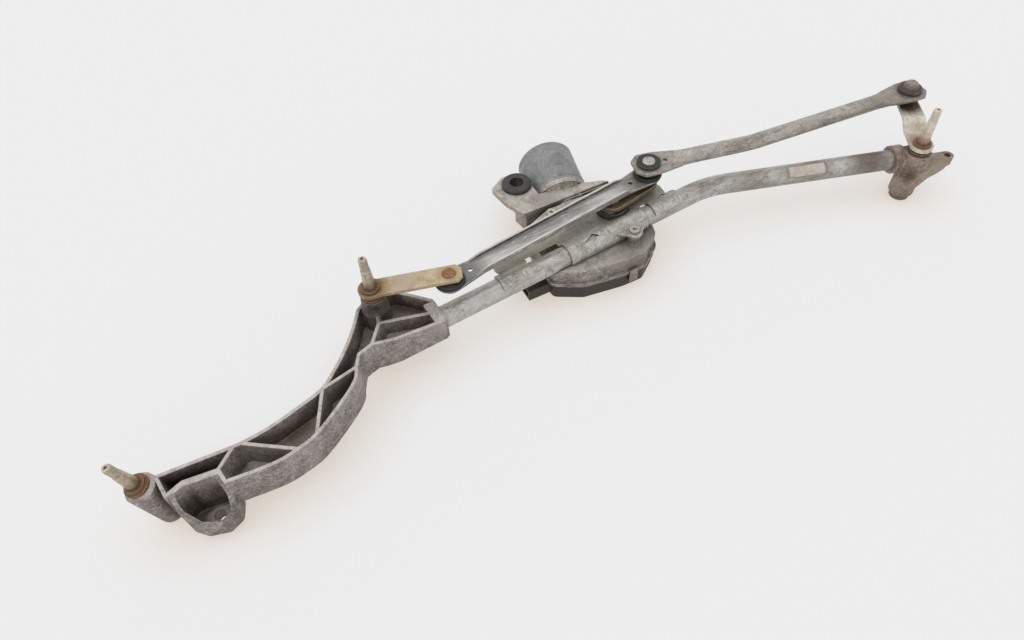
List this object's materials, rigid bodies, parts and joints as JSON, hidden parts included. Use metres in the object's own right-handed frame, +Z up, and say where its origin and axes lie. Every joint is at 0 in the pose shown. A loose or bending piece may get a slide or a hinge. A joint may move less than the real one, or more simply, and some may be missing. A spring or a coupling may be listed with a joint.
{
  "type": "wiper linkage",
  "caption": "Windscreen wiper linkage with a ribbed cast bracket, bent frame tube, geared motor, crank, links, levers and threaded spindles.",
  "frame": {"origin": "on the underside of the gear cover, in its front part, in front of the worm", "axes": "+X along the frame tube to the right end, +Y to the motor can, +Z up, along the left and right spindles"},
  "size_m": [0.9399, 0.2722, 0.129],
  "materials": {
    "bracket_casting": "as-cast, dull grey with pale worn rims",
    "tube_steel": "galvanised, dull",
    "end_casting": "as-cast, dark and dirty",
    "plate_steel": "zinc plated sheet",
    "housing_casting": "as-cast, blotched",
    "cover_plastic": "moulded, satin",
    "clip_steel": "spring steel",
    "pin_brass": "tinned brass",
    "board_laminate": "green laminate",
    "can_steel": "grey plated, weathered",
    "magnet_ferrite": "dark ferrite",
    "holder_plastic": "black moulding",
    "bush_bronze": "sintered bronze",
    "black_rubber": "matt",
    "screw_steel": "zinc plated",
    "shaft_steel": "ground",
    "core_iron": "laminated",
    "copper": "turned copper",
    "wheel_plastic": "natural nylon",
    "crank_steel": "yellow passivated",
    "left_lever_steel": "yellow passivated, rubbed",
    "right_lever_steel": "yellow passivated, faded",
    "link_steel": "galvanised",
    "rod_steel": "galvanised, dirty",
    "socket_plastic": "black nylon",
    "ball_steel": "polished",
    "spindle_steel": "yellow passivated",
    "rivet_copper": "copper coloured, rubbed",
    "ring_steel": "rusty"
  },
  "bodies": {
    "frame": {"left_bracket": "bracket_casting", "frame_tube": "tube_steel", "right_bracket": "end_casting", "motor_plate": "plate_steel", "gear_housing": "housing_casting", "gear_cover": "cover_plastic", "cover_clips": "clip_steel", "connector_pins": "pin_brass", "circuit_board": "board_laminate", "motor_can": "can_steel", "magnets": "magnet_ferrite", "brush_holder": "holder_plastic", "rear_bush": "bush_bronze", "grommet": "black_rubber", "plate_screws": "screw_steel", "motor_screws": "screw_steel", "output_bush": "bush_bronze", "shaft_seal": "black_rubber", "left_bush": "bush_bronze", "right_bush": "bush_bronze", "idle_bush": "bush_bronze"},
    "armature": {"armature_shaft": "shaft_steel", "armature_core": "core_iron", "commutator": "copper"},
    "crank": {"worm_wheel": "wheel_plastic", "output_shaft": "shaft_steel", "crank_arm": "crank_steel", "crank_nut": "screw_steel", "lower_ball_stud": "ball_steel"},
    "left_link": {"left_link": "link_steel", "left_link_sockets": "socket_plastic", "lever_ball_stud": "ball_steel"},
    "left_lever": {"left_lever": "left_lever_steel", "left_spindle": "spindle_steel", "lever_rivet": "rivet_copper", "left_rings": "ring_steel"},
    "right_lever": {"right_lever": "right_lever_steel", "right_spindle": "spindle_steel", "right_ball_stud": "ball_steel", "right_rings": "ring_steel"},
    "right_link": {"right_link": "rod_steel", "right_link_sockets": "socket_plastic", "upper_ball_stud": "shaft_steel"},
    "idle_spindle": {"idle_spindle": "spindle_steel", "idle_rings": "ring_steel"}
  },
  "joints": [
    {"name": "crank_turn", "type": "hinge", "parent": "frame", "child": "crank", "pos_m": [0.0715, 0.0485, 0.065], "axis": [0, 0, -1], "range_deg": [0, 180]},
    {"name": "armature_spin", "type": "hinge", "parent": "frame", "child": "armature", "pos_m": [0.03125, 0.05632, 0.027], "axis": [0.189, 0.9721, 0.1392], "range_deg": [0, 10800]},
    {"name": "left_link_pivot", "type": "hinge", "parent": "crank", "child": "left_link", "pos_m": [0.12081, 0.05675, 0.0755], "axis": [0, 0, 1], "range_deg": [0, 188.87]},
    {"name": "left_lever_swing", "type": "hinge", "parent": "frame", "child": "left_lever", "pos_m": [-0.208, 0.041, 0.086], "axis": [0, 0, -1], "range_deg": [0, 87.18]},
    {"name": "right_lever_swing", "type": "hinge", "parent": "frame", "child": "right_lever", "pos_m": [0.416, -0.051, 0.072], "axis": [0, 0, 1], "range_deg": [0, 84.88]},
    {"name": "right_link_pivot", "type": "hinge", "parent": "right_lever", "child": "right_link", "pos_m": [0.454, 0.014, 0.091], "axis": [0, 0, -1], "range_deg": [0, 85.69]},
    {"name": "idle_spindle_turn", "type": "hinge", "parent": "frame", "child": "idle_spindle", "pos_m": [-0.455, -0.046, 0.06], "axis": [-0.1908, 0, 0.9816], "continuous": true}
  ],
  "couplings": [
    {"joint": "armature_spin", "follows": "crank_turn", "ratio": 60},
    {"joint": "left_link_pivot", "follows": "crank_turn", "ratio": 1.0487},
    {"joint": "left_lever_swing", "follows": "crank_turn", "ratio": 0.48377},
    {"joint": "right_lever_swing", "follows": "crank_turn", "ratio": 0.47098},
    {"joint": "right_link_pivot", "follows": "crank_turn", "ratio": 0.47551}
  ]
}
